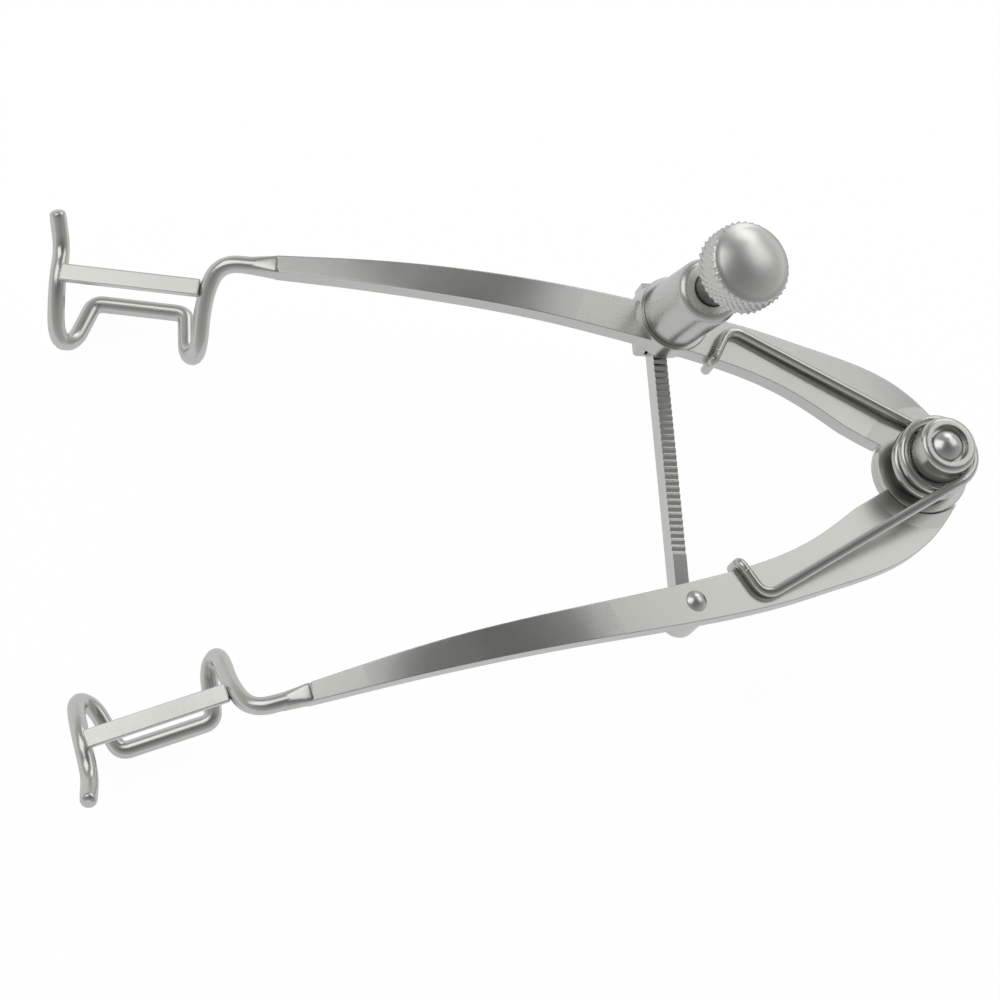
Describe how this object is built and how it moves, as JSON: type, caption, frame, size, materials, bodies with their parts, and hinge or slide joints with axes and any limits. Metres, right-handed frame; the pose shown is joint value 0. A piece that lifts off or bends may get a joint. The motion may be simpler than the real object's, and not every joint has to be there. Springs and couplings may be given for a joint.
{
  "type": "eye speculum with screw lock",
  "caption": "Steel eye speculum: sprung arms on a hinge pin, wire lid hooks at their ends, and a toothed guide bar held by a knurled thumb screw.",
  "frame": {"origin": "on the hinge axis, at the flat underside of the hinge pin's foot", "axes": "+Z along the hinge axis, away from the patient; +X from the lid hooks towards the hinge, halfway between the arms; +Y towards the arm that carries the thumb screw"},
  "size_m": [0.0792, 0.0534, 0.031],
  "materials": {
    "satin_arm": "satin",
    "polished_wire": "polished",
    "polished_pin": "polished",
    "turned_steel": "fine turned satin",
    "spring_wire": "drawn wire",
    "bright_bar": "bright ground"
  },
  "bodies": {
    "lower_side": {"lower_arm": "satin_arm", "lower_lid_wire": "polished_wire", "lower_cross_bar": "polished_wire", "hinge_pin": "polished_pin", "hinge_collar": "turned_steel", "opening_spring": "spring_wire", "guide_bar_rivet": "polished_pin"},
    "upper_side": {"upper_arm": "satin_arm", "upper_lid_wire": "polished_wire", "upper_cross_bar": "polished_wire"},
    "guide_bar": {"guide_bar": "bright_bar"},
    "lock_post": {"lock_post": "turned_steel", "bar_guide": "turned_steel"},
    "clamp_shoe": {"clamp_shoe": "turned_steel"},
    "thumb_screw": {"thumb_screw": "turned_steel"}
  },
  "joints": [
    {"name": "arm_opening", "type": "hinge", "parent": "lower_side", "child": "upper_side", "pos_m": [0, 0, 0], "axis": [0, 0, -1], "range_deg": [-23, 0], "stiffness_Nm_per_rad": 0.05, "springref_deg": 11.46, "deforming": ["opening_spring"]},
    {"name": "bar_swing", "type": "hinge", "parent": "lower_side", "child": "guide_bar", "pos_m": [-0.02356, -0.01268, 0], "axis": [0, 0, -1], "range_deg": [-11.5, 0]},
    {"name": "post_swivel", "type": "hinge", "parent": "upper_side", "child": "lock_post", "pos_m": [-0.02279, 0.01402, 0.00058], "axis": [-0.1264, 0.1061, -0.9863], "range_deg": [0, 11.5]},
    {"name": "screw_travel", "type": "slide", "parent": "lock_post", "child": "clamp_shoe", "axis": [0.1264, -0.1061, 0.9863], "range_m": [0, 0.001]},
    {"name": "screw_turn", "type": "hinge", "parent": "clamp_shoe", "child": "thumb_screw", "pos_m": [-0.02279, 0.01402, 0.00058], "axis": [0.1264, -0.1061, 0.9863], "range_deg": [0, 720]}
  ],
  "couplings": [
    {"joint": "bar_swing", "follows": "arm_opening", "ratio": 0.5},
    {"joint": "post_swivel", "follows": "arm_opening", "ratio": -0.5},
    {"joint": "screw_turn", "follows": "screw_travel", "rad_per_m": 12566}
  ]
}
